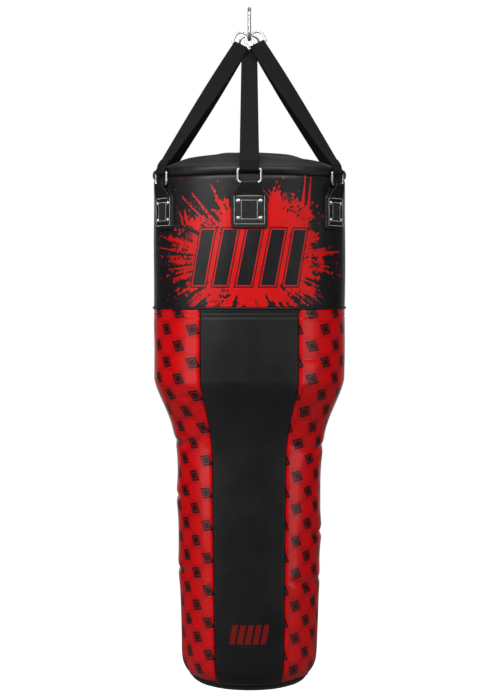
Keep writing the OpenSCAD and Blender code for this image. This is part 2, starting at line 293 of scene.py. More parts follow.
# %% [markdown]
# ## Leather grain
# Synthetic leather is embossed with shallow plates about a millimetre wide with creases between
# them. Voronoi cells have that layout: the distance to a cell's edge is low in the creases and
# high on the plates. A little noise keeps the plates from looking stamped.

# %% Leather grain
grain, w, inside, out = new_group(
    "leather grain", [("Place", "Vector", None), ("Cells", "Float", 900.0)], ["Height", "Crease"])
edge = w.cells(inside["Place"], inside["Cells"], feature="DISTANCE_TO_EDGE")
plates = w.fade(edge, 0.0, 0.28)
speckle = w.noise(inside["Place"], w.calc("MULTIPLY", inside["Cells"], 2.2), 3.0)
w.feed(out["Height"],
       w.calc("ADD", w.calc("MULTIPLY", plates, 0.8), w.calc("MULTIPLY", speckle, 0.2)))
w.feed(out["Crease"], w.calc("SUBTRACT", 1.0, plates))

# %% [markdown]
# ## Handling marks
# A hanging bag is pushed, hugged and wiped. The gloss varies in patches as wide as a hand, with
# a few fine scuffs that run more across than up. Both go to roughness, where they show only in
# the highlights, as real ones do.

# %% Handling marks
marks, w, inside, out = new_group(
    "handling marks", [("Place", "Vector", None)], ["Patches", "Scuffs"])
w.feed(out["Patches"], w.fade(w.noise(inside["Place"], 9.0, 4.0, 0.6), 0.3, 0.72))
stretch = w.node("Mapping")
w.feed(stretch.inputs["Vector"], inside["Place"])
stretch.inputs["Scale"].default_value = (35, 35, 190)
w.feed(out["Scuffs"], w.fade(w.noise(stretch.outputs[0], 1.0, 5.0, 0.7), 0.62, 0.74))

# %% [markdown]
# ## Webbing weave
# Heavy webbing is a ribbed weave: rows of weft bars across the band, each broken into the
# bumps of the warp yarns. Two sines of the band's own coordinates make it, with every other
# row shifted by half a yarn.

# %% Webbing weave
weave, w, inside, out = new_group(
    "webbing weave", [("Cut", "Vector", None), ("Rib", "Float", 0.0021), ("Yarn", "Float", 0.0016)],
    ["Height", "Shade"])
across, along = w.split(inside["Cut"])
row = w.calc("DIVIDE", along, inside["Rib"])
shift = w.calc("MULTIPLY", w.calc("FLOOR", row), 0.5)
column = w.calc("ADD", w.calc("DIVIDE", across, inside["Yarn"]), shift)
bar = w.calc("SINE", w.calc("MULTIPLY", w.calc("FRACT", row), math.pi))
bump = w.calc("ABSOLUTE", w.calc("SINE", w.calc("MULTIPLY", column, math.pi)))
w.feed(out["Height"], w.calc("MULTIPLY", bar, w.calc("ADD", w.calc("MULTIPLY", bump, 0.55), 0.45)))
w.feed(out["Shade"], w.noise(inside["Cut"], 160.0, 3.0))

# %% [markdown]
# ## Slanted bars
# The bag's print has a block of dark shapes outlined in red. Here it is a plain row of slanted
# bars. Each point is measured by its distance outside the nearest bar, so one number gives the
# bar, a thin outline and the gap round the outline.

# %% Slanted bars
bars, w, inside, out = new_group(
    "slanted bars",
    [("Cut", "Vector", None), ("Low", "Float", 0.052), ("High", "Float", 0.176),
     ("Pitch", "Float", 0.054), ("Count", "Float", 5.0), ("Gap", "Float", 0.022),
     ("Slant", "Float", 0.2), ("Line", "Float", 0.0028)],
    ["Bar", "Outline", "Block"])
u, v = w.split(inside["Cut"])
middle = w.calc("MULTIPLY", w.calc("ADD", inside["Low"], inside["High"]), 0.5)
half_high = w.calc("MULTIPLY", w.calc("SUBTRACT", inside["High"], inside["Low"]), 0.5)
leaning = w.calc("SUBTRACT", u, w.calc("MULTIPLY", w.calc("SUBTRACT", v, middle), inside["Slant"]))
half_wide = w.calc("MULTIPLY", w.calc("MULTIPLY", inside["Pitch"], inside["Count"]), 0.5)
turn = w.calc("DIVIDE", w.calc("ADD", leaning, half_wide), inside["Pitch"])
in_cell = w.calc("ABSOLUTE", w.calc("SUBTRACT", w.calc("FRACT", turn), 0.5))
beside = w.calc("SUBTRACT", w.calc("MULTIPLY", in_cell, inside["Pitch"]),
                w.calc("MULTIPLY", w.calc("SUBTRACT", inside["Pitch"], inside["Gap"]), 0.5))
past_end = w.calc("SUBTRACT", w.calc("ABSOLUTE", leaning),
                  w.calc("SUBTRACT", half_wide, w.calc("MULTIPLY", inside["Gap"], 0.5)))
above = w.calc("SUBTRACT", w.calc("ABSOLUTE", w.calc("SUBTRACT", v, middle)), half_high)
outside = w.calc("MAXIMUM", w.calc("MAXIMUM", beside, above), past_end)
w.feed(out["Bar"], w.calc("LESS_THAN", outside, 0.0))
w.feed(out["Outline"], w.calc("MULTIPLY", w.calc("LESS_THAN", outside, inside["Line"]),
                              w.calc("GREATER_THAN", outside, 0.0)))
w.feed(out["Block"], w.calc("LESS_THAN", outside, w.calc("MULTIPLY", inside["Line"], 2.1)))

# %% [markdown]
# ## Paint splash
# Thrown paint has a full middle, a torn edge with spikes that point outwards, and drops beyond.
# The distance from an ellipse gives the middle; noise of the direction alone pulls it out
# into spikes; and a field of cells gives drops whose size falls with distance.

# %% Paint splash
splash, w, inside, out = new_group(
    "paint splash",
    [("Cut", "Vector", None), ("Middle u", "Float", 0.0), ("Middle v", "Float", 0.11),
     ("Reach u", "Float", 0.2), ("Reach v", "Float", 0.13), ("Spikes", "Float", 2.6)],
    ["Paint", "Drops"])
u, v = w.split(inside["Cut"])
du = w.calc("DIVIDE", w.calc("SUBTRACT", u, inside["Middle u"]), inside["Reach u"])
dv = w.calc("DIVIDE", w.calc("SUBTRACT", v, inside["Middle v"]), inside["Reach v"])
away = w.calc("SQRT", w.calc("ADD", w.calc("MULTIPLY", du, du), w.calc("MULTIPLY", dv, dv)))
direction = w.pair(w.calc("DIVIDE", du, w.calc("MAXIMUM", away, 0.05)),
                   w.calc("DIVIDE", dv, w.calc("MAXIMUM", away, 0.05)))
spikes = w.calc("POWER", w.noise(direction, 13.0, 3.0, 0.65), 3.0)
torn = w.noise(inside["Cut"], 30.0, 5.0, 0.7)
edge = w.calc("ADD", w.calc("SUBTRACT", away, w.calc("MULTIPLY", spikes, inside["Spikes"])),
              w.calc("MULTIPLY", w.calc("SUBTRACT", torn, 0.5), 1.5))
w.feed(out["Paint"], w.calc("LESS_THAN", edge, 0.55))
drop = w.cells(inside["Cut"], 95.0)
size = w.calc("MULTIPLY", w.cells(inside["Cut"], 95.0, output="Color"), 0.5)
near = w.calc("SUBTRACT", 1.0, w.fade(edge, 0.6, 1.15))
w.feed(out["Drops"], w.calc("LESS_THAN", drop, w.calc("MULTIPLY", size, near)))

# %% [markdown]
# ## Paint runs
# Wet paint runs in narrow streaks of many lengths. A row number picks a random length and side
# shift for each streak, and noise along it varies its width. They lean a little.

# %% Paint runs
runs, w, inside, out = new_group(
    "paint runs",
    [("Cut", "Vector", None), ("From u", "Float", 0.075), ("To u", "Float", 0.15),
     ("Foot v", "Float", 0.19), ("Longest", "Float", 0.115), ("Lean", "Float", 0.12)], ["Paint"])
u, v = w.split(inside["Cut"])
rise = w.calc("SUBTRACT", v, inside["Foot v"])
leaned = w.calc("SUBTRACT", u, w.calc("MULTIPLY", rise, inside["Lean"]))
lane = w.calc("MULTIPLY", leaned, 62.0)
number = w.pair(w.calc("FLOOR", lane), 0.5)
dice = w.node("TexWhiteNoise", noise_dimensions="2D")
w.feed(dice.inputs["Vector"], number)
length = w.calc("MULTIPLY", dice.outputs["Value"], inside["Longest"])
left_over = w.calc("SUBTRACT", 1.0, w.fade(rise, w.calc("MULTIPLY", length, 0.2), length))
thin = w.calc("ADD", w.calc("MULTIPLY", w.noise(inside["Cut"], 70.0), 0.16),
              w.calc("MULTIPLY", left_over, 0.2))
line = w.calc("LESS_THAN", w.calc("ABSOLUTE", w.calc("SUBTRACT", w.calc("FRACT", lane), 0.5)), thin)
kept = w.calc("MULTIPLY", w.calc("LESS_THAN", rise, length), w.calc("GREATER_THAN", rise, -0.012))
kept = w.calc("MULTIPLY", kept, w.calc("MULTIPLY", w.calc("GREATER_THAN", leaned, inside["From u"]),
                                       w.calc("LESS_THAN", leaned, inside["To u"])))
w.feed(out["Paint"], w.calc("MULTIPLY", line, kept))

# %% [markdown]
# ## Lozenge print
# The red panels carry a small dark figure in a staggered layout, about 75 mm from one to the next
# in a column. Folding the coordinates into one cell makes the layout, and the sum of two
# distances makes a lozenge. Soft petals in a brighter red are printed between the figures.

# %% Lozenge print
lozenges, w, inside, out = new_group(
    "lozenge print",
    [("Cut", "Vector", None), ("Pitch u", "Float", 0.076), ("Pitch v", "Float", 0.075),
     ("Half u", "Float", 0.0200), ("Half v", "Float", 0.0155)], ["Figure", "Petals"])
u, v = w.split(inside["Cut"])
cell_u = w.calc("DIVIDE", u, inside["Pitch u"])
cell_v = w.calc("DIVIDE", v, inside["Pitch v"])
figures = []
for shift in (0.0, 0.5):
    x, y = (w.calc("MULTIPLY", pitch,
                   w.calc("SUBTRACT", w.calc("FRACT", w.calc("ADD", cell, shift)), 0.5))
            for cell, pitch in ((cell_u, inside["Pitch u"]), (cell_v, inside["Pitch v"])))
    turned_x = w.calc("SUBTRACT", w.calc("MULTIPLY", x, 0.88), w.calc("MULTIPLY", y, 0.47))
    turned_y = w.calc("ADD", w.calc("MULTIPLY", y, 0.88), w.calc("MULTIPLY", x, 0.47))
    reach = w.calc("ADD", w.calc("DIVIDE", w.calc("ABSOLUTE", turned_x), inside["Half u"]),
                   w.calc("DIVIDE", w.calc("ABSOLUTE", turned_y), inside["Half v"]))
    line = w.calc("LESS_THAN", w.calc("ABSOLUTE", w.calc("SUBTRACT", reach, 0.62)), 0.04)
    figures.append(w.calc("MULTIPLY", w.calc("LESS_THAN", reach, 1.0),
                          w.calc("SUBTRACT", 1.0, line)))
w.feed(out["Figure"], w.calc("MAXIMUM", *figures))
waves = [w.calc("COSINE", w.calc("MULTIPLY", cell, math.tau)) for cell in (cell_u, cell_v)]
ragged = w.calc("MULTIPLY", w.noise(inside["Cut"], 60.0), 0.1)
blob = w.calc("ADD", w.calc("MULTIPLY", *waves), ragged)
w.feed(out["Petals"], w.calc("SUBTRACT", 1.0, w.fade(blob, -0.16, 0.02)))

# %% [markdown]
# ## Finishes
# Each material starts from the same bench: a Principled shader, the place on the object and the
# place on the cut cloth. What is the same all over stays a plain number on the shader, and only
# what varies over the surface is wired.

# %% A bench for finishes
def finish(name, **plain):
    """A new material: itself, its wiring, its shader, the place on the object and on the cut."""
    material = bpy.data.materials.new(name)
    material.use_nodes = True
    wiring = Wiring(material.node_tree)
    shader = material.node_tree.nodes["Principled BSDF"]
    for label, value in plain.items():
        shader.inputs[label.replace("_", " ")].default_value = value
    place = wiring.node("TexCoord").outputs["Object"]
    cut = wiring.node("UVMap", uv_map="cut").outputs["UV"]
    return material, wiring, shader.inputs, place, cut


def emboss(wiring, shader, height, depth, strength=1.0):
    bump = wiring.node("Bump")
    bump.inputs["Strength"].default_value = strength
    bump.inputs["Distance"].default_value = depth
    wiring.feed(bump.inputs["Height"], height)
    wiring.feed(shader["Normal"], bump.outputs["Normal"])


def gloss(wiring, shader, place, even, patch=0.08, scuff=0.12):
    """Roughness that varies with handling. Returns the patches for use in the colour."""
    worn = wiring.use(marks, Place=place)
    rough = wiring.calc("ADD", even, wiring.calc("MULTIPLY", worn["Patches"], patch))
    rough = wiring.calc("ADD", rough, wiring.calc("MULTIPLY", worn["Scuffs"], scuff))
    wiring.feed(shader["Roughness"], rough)
    return worn


def rgb(r, g, b):
    return (r, g, b, 1.0)


# %% [markdown]
# ## Black leather
# The black parts are one synthetic leather in four weights. Its colour is almost flat, so the
# shine and the grain have to carry it: the lid is duller, the piping glossier because it is
# stretched, and the thick tabs have a coarser grain.

# %% Black leather
BLACK = rgb(0.0052, 0.0050, 0.0058)
BLACK_WORN = rgb(0.0088, 0.0086, 0.0098)
RED = rgb(0.44, 0.0004, 0.0022)
RED_BRIGHT = rgb(0.60, 0.0010, 0.0028)
PAINT = rgb(0.42, 0.0006, 0.0010)
PAINT_BRIGHT = rgb(0.60, 0.0030, 0.0020)
INK = rgb(0.012, 0.003, 0.004)
SHINE = 0.28
GRAIN_CELLS = 850.0
GRAIN_DEPTH = 0.12 * MM


def black_leather(name, even, cells=GRAIN_CELLS, depth=GRAIN_DEPTH):
    material, wiring, shader, place, cut = finish(name, Specular_IOR_Level=SHINE)
    worn = gloss(wiring, shader, place, even)
    wiring.feed(shader["Base Color"], wiring.mix(worn["Patches"], BLACK, BLACK_WORN))
    emboss(wiring, shader, wiring.use(grain, Place=place, Cells=cells)["Height"], depth, 0.6)
    return material


skin_black = black_leather("black_leather", 0.36)
lid_black = black_leather("lid_leather", 0.46)
tab_black = black_leather("tab_leather", 0.40, cells=620.0, depth=0.2 * MM)
piping_black = black_leather("piping_leather", 0.33)
print("black leathers:", ", ".join(m.name for m in (skin_black, lid_black, tab_black, piping_black)))

# %% [markdown]
# ## Printed leather
# The barrel is printed after it is cut: a splash of red paint, a second one above and beside
# it, streaks that run off, small pits where the ink missed, and a block of dark bars with a red outline.
# Each layer is a mask of the cut's own coordinates, so the largest of the masks is the paint. The
# front panel has the same bars in a small size.

# %% Printed leather for the barrel
barrel_print, w, shader, place, cut = finish("printed_leather", Specular_IOR_Level=SHINE)
worn = gloss(w, shader, place, 0.30)
thrown = w.use(splash, Cut=cut)
lifted = w.use(splash, Cut=cut, Middle_u=0.085, Middle_v=0.2, Reach_u=0.075, Reach_v=0.07,
               Spikes=1.6)
row = w.use(bars, Cut=cut)
paint = w.calc("MAXIMUM", w.calc("MAXIMUM", thrown["Paint"], thrown["Drops"]), lifted["Paint"])
for settings in (dict(), dict(From_u=-0.17, To_u=-0.09, Foot_v=0.2, Longest=0.06, Lean=-0.3)):
    paint = w.calc("MAXIMUM", paint, w.use(runs, Cut=cut, **settings)["Paint"])
pitted = w.fade(w.noise(cut, 14.0), 0.42, 0.7)
pits = w.calc("LESS_THAN", w.cells(cut, 150.0), w.calc("MULTIPLY", pitted, 0.5))
paint = w.calc("MULTIPLY", paint, w.calc("SUBTRACT", 1.0, pits))
paint = w.calc("MULTIPLY", paint, w.calc("SUBTRACT", 1.0, row["Block"]))
paint = w.calc("MAXIMUM", paint, row["Outline"])
ink = w.mix(w.noise(cut, 26.0, 3.0), PAINT, PAINT_BRIGHT)
w.feed(shader["Base Color"], w.mix(paint, w.mix(worn["Patches"], BLACK, BLACK_WORN), ink))
height = w.calc("ADD", w.use(grain, Place=place, Cells=GRAIN_CELLS)["Height"],
                w.calc("MULTIPLY", paint, 0.5))
emboss(w, shader, height, GRAIN_DEPTH, 0.6)
print(barrel_print.name, "has", len(barrel_print.node_tree.nodes), "nodes")

# %% Printed leather for the front panel's emblem
panel_print, w, shader, place, cut = finish("panel_leather", Specular_IOR_Level=SHINE)
worn = gloss(w, shader, place, 0.38)
badge = w.use(bars, Cut=cut, Low=0.105, High=0.15, Pitch=0.019, Count=5.0, Gap=0.006, Line=0.001)
w.feed(shader["Base Color"], w.mix(badge["Bar"], w.mix(worn["Patches"], BLACK, BLACK_WORN),
                                   rgb(0.17, 0.004, 0.003)))
emboss(w, shader, w.use(grain, Place=place, Cells=GRAIN_CELLS)["Height"], GRAIN_DEPTH, 0.6)
print(panel_print.name, "has", len(panel_print.node_tree.nodes), "nodes")

# %% [markdown]
# ## Red leather
# The side panels are a glossier leather than the black, with a clear top layer over the print.
# That layer is the shader's coat. The red varies slowly, and it is brighter in the printed petals.

# %% Red leather
red_leather, w, shader, place, cut = finish(
    "red_leather", Specular_IOR_Level=0.2, Coat_Weight=0.22, Coat_Roughness=0.17)
gloss(w, shader, place, 0.32)
drawn = w.use(lozenges, Cut=cut)
tone = w.calc("ADD", w.calc("MULTIPLY", w.noise(place, 6.0, 3.0), 0.3),
              w.calc("MULTIPLY", drawn["Petals"], 0.65))
w.feed(shader["Base Color"], w.mix(drawn["Figure"], w.mix(tone, RED, RED_BRIGHT), INK))
emboss(w, shader, w.use(grain, Place=place, Cells=GRAIN_CELLS)["Height"], 0.1 * MM, 0.5)
print(red_leather.name, "has", len(red_leather.node_tree.nodes), "nodes")

# %% [markdown]
# ## Webbing, thread and steel
# Webbing and thread are matt, and their ribs and twist show more than their colour. Plated steel
# is the reverse: it is bright, and only faint drawing lines and duller spots keep it from
# looking like chrome. The floor's pale finish is made here too.

# %% Webbing, thread and steel
def woven(name, dark, light):
    material, wiring, shader, place, cut = finish(
        name, Roughness=0.86, Specular_IOR_Level=0.12, Sheen_Weight=0.015, Sheen_Roughness=0.5)
    yarn = wiring.use(weave, Cut=cut)
    wiring.feed(shader["Base Color"], wiring.mix(yarn["Shade"], dark, light))
    emboss(wiring, shader, yarn["Height"], 0.5 * MM, 0.9)
    return material


webbing = woven("webbing", rgb(0.0042, 0.0039, 0.004), rgb(0.0095, 0.009, 0.0092))
insert_cloth = woven("insert_cloth", rgb(0.013, 0.013, 0.014), rgb(0.028, 0.028, 0.03))


def thread(name, dark, light):
    """Twisted sewing thread: fine slanted ridges, a little darker where it is soiled."""
    material, wiring, shader, place, cut = finish(name, Roughness=0.6, Specular_IOR_Level=0.35)
    twist = wiring.noise(place, 2600.0, 1.0)
    wiring.feed(shader["Base Color"], wiring.mix(wiring.noise(place, 120.0), dark, light))
    emboss(wiring, shader, twist, 0.1 * MM)
    return material


def plated(name, colour, even, patch):
    """Plated steel: bright, with faint drawing lines and duller spots."""
    material, wiring, shader, place, cut = finish(name, Metallic=1.0)
    lines = wiring.noise(place, 260.0, 2.0, 0.5)
    spots = wiring.noise(place, 55.0, 4.0, 0.6)
    wiring.feed(shader["Roughness"], wiring.calc("ADD", even, wiring.calc("MULTIPLY", spots, patch)))
    dull = tuple(0.72 * c for c in colour[:3]) + (1.0,)
    wiring.feed(shader["Base Color"], wiring.mix(wiring.fade(spots, 0.4, 0.75), colour, dull))
    emboss(wiring, shader, lines, 0.04 * MM, 0.25)
    return material


white_thread = thread("white_thread", rgb(0.42, 0.41, 0.39), rgb(0.72, 0.71, 0.69))
black_thread = thread("black_thread", rgb(0.012, 0.012, 0.013), rgb(0.028, 0.028, 0.03))
zinc = plated("zinc_steel", rgb(0.42, 0.45, 0.47), 0.36, 0.12)
nickel = plated("nickel_steel", rgb(0.60, 0.62, 0.62), 0.28, 0.12)

# %% Pale floor
paper, w, shader, place, cut = finish("pale_floor", Roughness=0.9, Specular_IOR_Level=0.1)
direct = w.node("LightPath").outputs["Is Camera Ray"]
grit = w.noise(place, 3.0)
lit = w.mix(grit, rgb(0.84, 0.84, 0.84), rgb(0.88, 0.88, 0.88))
w.feed(shader["Base Color"], w.mix(direct, rgb(0.2, 0.2, 0.2), lit))
w.feed(shader["Emission Color"], w.mix(grit, rgb(0.97, 0.97, 0.97), rgb(1, 1, 1)))
w.feed(shader["Emission Strength"], w.calc("MULTIPLY", direct, 0.8))
floor.data.materials.append(paper)
print(len(bpy.data.materials), "finishes and", len(bpy.data.node_groups), "shared effects")

# %% [markdown]
# ## Surfaces from rows of points
# Sewn things are made from flat cuts, so each surface here is a grid of points with a map called
# `cut` in metres of real cloth. A print or a weave laid on that map keeps its size where the
# bag narrows. Solidify then gives the sheet its thickness, towards the inside.

# %% Surface helpers
def spot(angle, radius, height):
    a = math.radians(angle)
    return Vector((radius * math.sin(a), -radius * math.cos(a), height))


def steps(first, last, size):
    """Even steps from first to last, no longer than size."""
    count = max(1, math.ceil(abs(last - first) / size))
    return [first + (last - first) * k / count for k in range(count + 1)]


def lay_cut(mesh, corners):
    """The map of the flat cloth: one place on it for each corner of each face."""
    layer = mesh.uv_layers.new(name="cut")
    layer.data.foreach_set("uv", [x for place in corners for x in place])


def surface(name, rows, material, cut, closed=False, flip=False, thick=0.0):
    """A piece from rows of points. cut(i, j) is the place on the cloth of column j of row i."""
    wide = len(rows[0])
    span = wide if closed else wide - 1
    faces, corners = [], []
    for i in range(len(rows) - 1):
        for j in range(span):
            quad = [(i, j), (i, j + 1), (i + 1, j + 1), (i + 1, j)]
            if flip:
                quad.reverse()
            faces.append([r * wide + c % wide for r, c in quad])
            corners += [cut(r, c) for r, c in quad]
    mesh = bpy.data.meshes.new(name)
    mesh.from_pydata([p for row in rows for p in row], [], faces)
    lay_cut(mesh, corners)
    return piece(name, mesh, material, "bag", thick)


def piece(name, mesh, material, body, thick=0.0):
    mesh.shade_smooth()
    mesh.materials.append(material)
    thing = put(name, mesh)
    if thick:
        sheet = thing.modifiers.new("thickness", "SOLIDIFY")
        sheet.thickness = thick
        sheet.offset = -1
    if body:
        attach(thing, body)
    return thing


# %% [markdown]
# ## How a stuffed skin lies
# Packed scraps press the skin out unevenly, and its weight makes it crease sideways where the
# bag narrows and where it has been hit. A crease is a sharp narrow valley between two soft
# swellings, deepest in its middle, and its ends lift. Each is listed by angle, height, reach
# in degrees, depth and how far its ends lift, in millimetres.

# %% Creases and swellings
CREASES = [
    (-70, -1012, 36, 7.5, 14), (68, -1024, 38, 7.5, 18),
    (-78, -1140, 26, 6.5, 6), (80, -1224, 34, 6.5, -10),
    (-74, -1312, 34, 7.0, 12), (70, -1338, 40, 7.0, 18),
    (-52, -955, 18, 2.6, 10), (-42, -900, 12, 2.0, -6), (40, -812, 12, 2.2, 4),
    (62, -1440, 26, 3.4, 8), (-60, -1225, 18, 2.6, -6),
    (58, -1150, 16, 2.2, 5), (-62, -1420, 20, 2.6, 6),
    (150, -1016, 34, 6.0, 10), (-148, -1030, 30, 6.0, 12), (176, -1165, 26, 4.2, 4),
    (-128, -1292, 28, 4.8, 8), (138, -1378, 24, 4.4, -6), (-170, -1425, 30, 3.6, 5),
]
VALLEY = 9 * MM
SWELL = 34 * MM
FOLD_LINE = 2.6 * MM


def turn_between(a, b):
    return (a - b + 180) % 360 - 180


def groove(distance, depth, wide):
    return -depth * math.exp(-(distance / wide) ** 2)


def crease(angle, height):
    """How far creases move the skin out at a place."""
    out = 0.0
    for middle, level, reach, depth, lift in CREASES:
        d = turn_between(angle, middle) / reach
        if abs(d) >= 1:
            continue
        share = (1 - d * d) ** 1.5
        t = height - (level + lift * d * d) * MM
        out += depth * MM * share * (0.5 * math.exp(-(t / SWELL) ** 2)
                                     - 0.7 * math.exp(-(t / VALLEY) ** 2))
        out += groove(t, 1.1 * MM * share, FOLD_LINE)
    return out


def lumps(angle, height, size, depth):
    """Soft unevenness of about the given size, in metres."""
    return depth * noise.noise(spot(angle, BARREL_R / size, height / size))


print(len(CREASES), "creases, the deepest", max(c[3] for c in CREASES), "mm")

# %% [markdown]
# ## Outline of the bag
# The bag is widest at the barrel, narrows in a soft shoulder to a waist and runs almost straight
# to a rounded foot. One radius for each height says all of that. On top of it lie the creases,
# the lumps, two rows of topstitching under the piping and the puckers beside each upright seam.

# %% Outline of the bag
def body_radius(height):
    """Radius of the stuffed body below the piping."""
    if height > SHOULDER_Z:
        return BARREL_R
    if height > WAIST_Z:
        t = (SHOULDER_Z - height) / (SHOULDER_Z - WAIST_Z)
        s = t ** 0.78
        return BARREL_R - (BARREL_R - WAIST_R) * s * s * (3 - 2 * s)
    if height > TOE_Z:
        return FOOT_R + (WAIST_R - FOOT_R) * (height - TOE_Z) / (WAIST_Z - TOE_Z)
    k = (TOE_Z - height) / (TOE_Z - BASE_Z)
    return FOOT_R - (FOOT_R - BASE_R) * (0.12 * k + 0.88 * k ** 3)


TOPSTITCH = [11 * MM, 19 * MM]
SEAMS = [PANEL_HALF, -PANEL_HALF, 180 - PANEL_HALF, PANEL_HALF - 180]


def panel_out(angle, height):
    """How far the sewn and stuffed skin of the panels stands off the plain outline."""
    radius = body_radius(height)
    below = PIPING_Z - height
    free = min(1.0, max(0.0, (below - 0.03) / 0.08))
    out = crease(angle, height) + free * lumps(angle, height, 0.17, 2.6 * MM)
    out += free * lumps(angle + 40, height, 0.06, 0.7 * MM)
    for row in TOPSTITCH:
        out += groove(below - row, 1.5 * MM, 2.0 * MM)
    out += 0.9 * MM * math.exp(-((below - 15 * MM) / (2.4 * MM)) ** 2)
    for seam in SEAMS:
        aside = math.radians(turn_between(angle, seam)) * radius
        pucker = 1 + 0.35 * math.sin(height * math.tau / (21 * MM) + seam)
        out += groove(aside, 1.7 * MM, 2.3 * MM)
        out += 0.55 * MM * pucker * math.exp(-((abs(aside) - 7 * MM) / (5 * MM)) ** 2)
    return out


print("waist to barrel:", round(WAIST_R / BARREL_R, 2), "of the width")

# %% [markdown]
# ## The four panels of the body
# The body is sewn from a black front and back and two red sides. One outline and one set of
# creases serve all four, so a crease runs on across a seam, and each panel keeps its own cut.
# The print stays almost upright where the bag narrows, as on a panel cut as a gore, because its
# cut follows only a third of the change in width.

# %% Body panels
COLUMN = 1.25
ROW = 3.4 * MM
BASE_SEAM_Z = BASE_Z + 8 * MM
CUT_R = 175 * MM
CUT_GIVE = 0.35


def body_panel(name, node, middle, half, material, lay_at=None, lay_out=0.0):
    """lay_at is the angle where the cut's own zero lies, and lay_out a shift along the cut."""
    lay_at = middle if lay_at is None else lay_at
    angles = steps(middle - half, middle + half, COLUMN)
    heights = steps(PIPING_Z - SEAM_GAP, BASE_SEAM_Z, ROW)
    rows = [[spot(a, body_radius(z) + panel_out(a, z), z) for a in angles] for z in heights]

    def cut(i, j):
        reach = CUT_R + CUT_GIVE * (body_radius(heights[i]) - CUT_R)
        return math.radians(angles[j] - lay_at) * reach + lay_out, heights[i] - BASE_Z
    thing = surface(name, rows, material, cut, flip=True, thick=SKIN_THICK)
    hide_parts(node)
    return thing


body_panel("front_skin", "front_panel", 0, PANEL_HALF, panel_print)
body_panel("back_skin", "back_panel", 180, PANEL_HALF, skin_black)
body_panel("left_skin", "side_panel_left", -90, 90 - PANEL_HALF, red_leather,
           lay_at=-PANEL_HALF, lay_out=16 * MM)
body_panel("right_skin", "side_panel_right", 90, 90 - PANEL_HALF, red_leather,
           lay_at=PANEL_HALF, lay_out=7 * MM)
print("panels at", [round(1000 * body_radius(z)) for z in (SHOULDER_Z, WAIST_Z, TOE_Z, BASE_Z)], "mm")


# %% [markdown]
# ## Barrel
# The barrel is one sheet joined at the back. It is under the most tension, so it carries only
# long soft lumps and faint upright pulls under each tab.

# %% Barrel
def barrel_out(angle, height):
    up = (height - PIPING_Z) / (BAND_Z - PIPING_Z)
    out = lumps(angle, height, 0.15, 1.8 * MM) * math.sin(math.pi * min(1, max(0, up))) ** 0.5
    out += groove(height - BAND_Z, 2.6 * MM, 3.5 * MM)
    out += groove(math.radians(turn_between(angle, 180)) * BARREL_R, 1.4 * MM, 2.0 * MM)
    for tab in TABS.values():
        d = turn_between(angle, tab)
        for side in (-12.5, 12.5):
            pull = math.exp(-((d - side) / 2.6) ** 2) * math.exp(-((up - 0.72) / 0.3) ** 2)
            out += 1.1 * MM * pull
    return out


barrel_angles = steps(-180, 180, COLUMN)
barrel_heights = steps(PIPING_Z + SEAM_GAP, BAND_Z - 0.5 * MM, ROW)
barrel = surface(
    "barrel_skin",
    [[spot(a, BARREL_R + barrel_out(a, z), z) for a in barrel_angles[:-1]] for z in barrel_heights],
    barrel_print,
    lambda i, j: (math.radians(barrel_angles[j]) * BARREL_R, barrel_heights[i] - PIPING_Z),
    closed=True, thick=SKIN_THICK)
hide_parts("barrel_shell", "foam_liner", "textile_filling")
print("barrel skin:", len(barrel_heights), "rows of", len(barrel_angles) - 1, "points")

# %% [markdown]
# ## Rim and lid
# The top edge of the barrel is a strip turned over and stuffed into a soft roll, a little uneven
# to the touch. The lid is a separate round piece, domed by the filling, with small pleats where
# its edge is gathered into the roll.

# %% Rim band and lid
BAND_PROFILE = steps(-100, 100, 9)


def band_row(turn):
    a = math.radians(turn)
    high = (RIM_Z + BAND_Z) / 2 + (RIM_Z - BAND_Z) / 2 * math.sin(a) * 1.02
    points = []
    for angle in barrel_angles[:-1]:
        out = lumps(angle, 3.0, 0.09, 2.0 * MM) + lumps(angle, 5.0, 0.035, 0.8 * MM)
        radius = BARREL_R - 3.2 * MM + (5.4 * MM + out) * math.cos(a)
        points.append(spot(angle, radius, high + lumps(angle, 7.0, 0.12, 1.6 * MM)))
    return points


band = surface(
    "rim_roll", [band_row(t) for t in BAND_PROFILE], skin_black,
    lambda i, j: (math.radians(barrel_angles[j]) * BARREL_R, math.radians(BAND_PROFILE[i]) * 10 * MM),
    closed=True)
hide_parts("rim_band")

LID_RINGS = steps(1.0, 0.02, 0.02)


def lid_row(share):
    points = []
    for angle in barrel_angles[:-1]:
        pleat = lumps(angle * 3.1, 0.0, 0.16, 1.6 * MM) * share ** 5
        sag = lumps(angle, share, 0.28, 7 * MM) * share * (1 - share) * 4
        edge = groove((1 - share) * LID_R - 1 * MM, 3.0 * MM, 4 * MM)
        height = RIM_Z + 0.9 * DOME_H * (1 - share ** 2.2) - 1 * MM + pleat + sag + edge
        points.append(spot(angle, LID_R * share, height))
    return points


lid = surface(
    "lid_skin", [lid_row(s) for s in LID_RINGS], lid_black,
    lambda i, j: tuple(spot(barrel_angles[j], LID_R * LID_RINGS[i], 0).xy), closed=True,
    thick=SKIN_THICK)
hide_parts("lid")
print(f"lid dome {0.9 * DOME_H:.3f} m high over a radius of {LID_R:.3f} m")
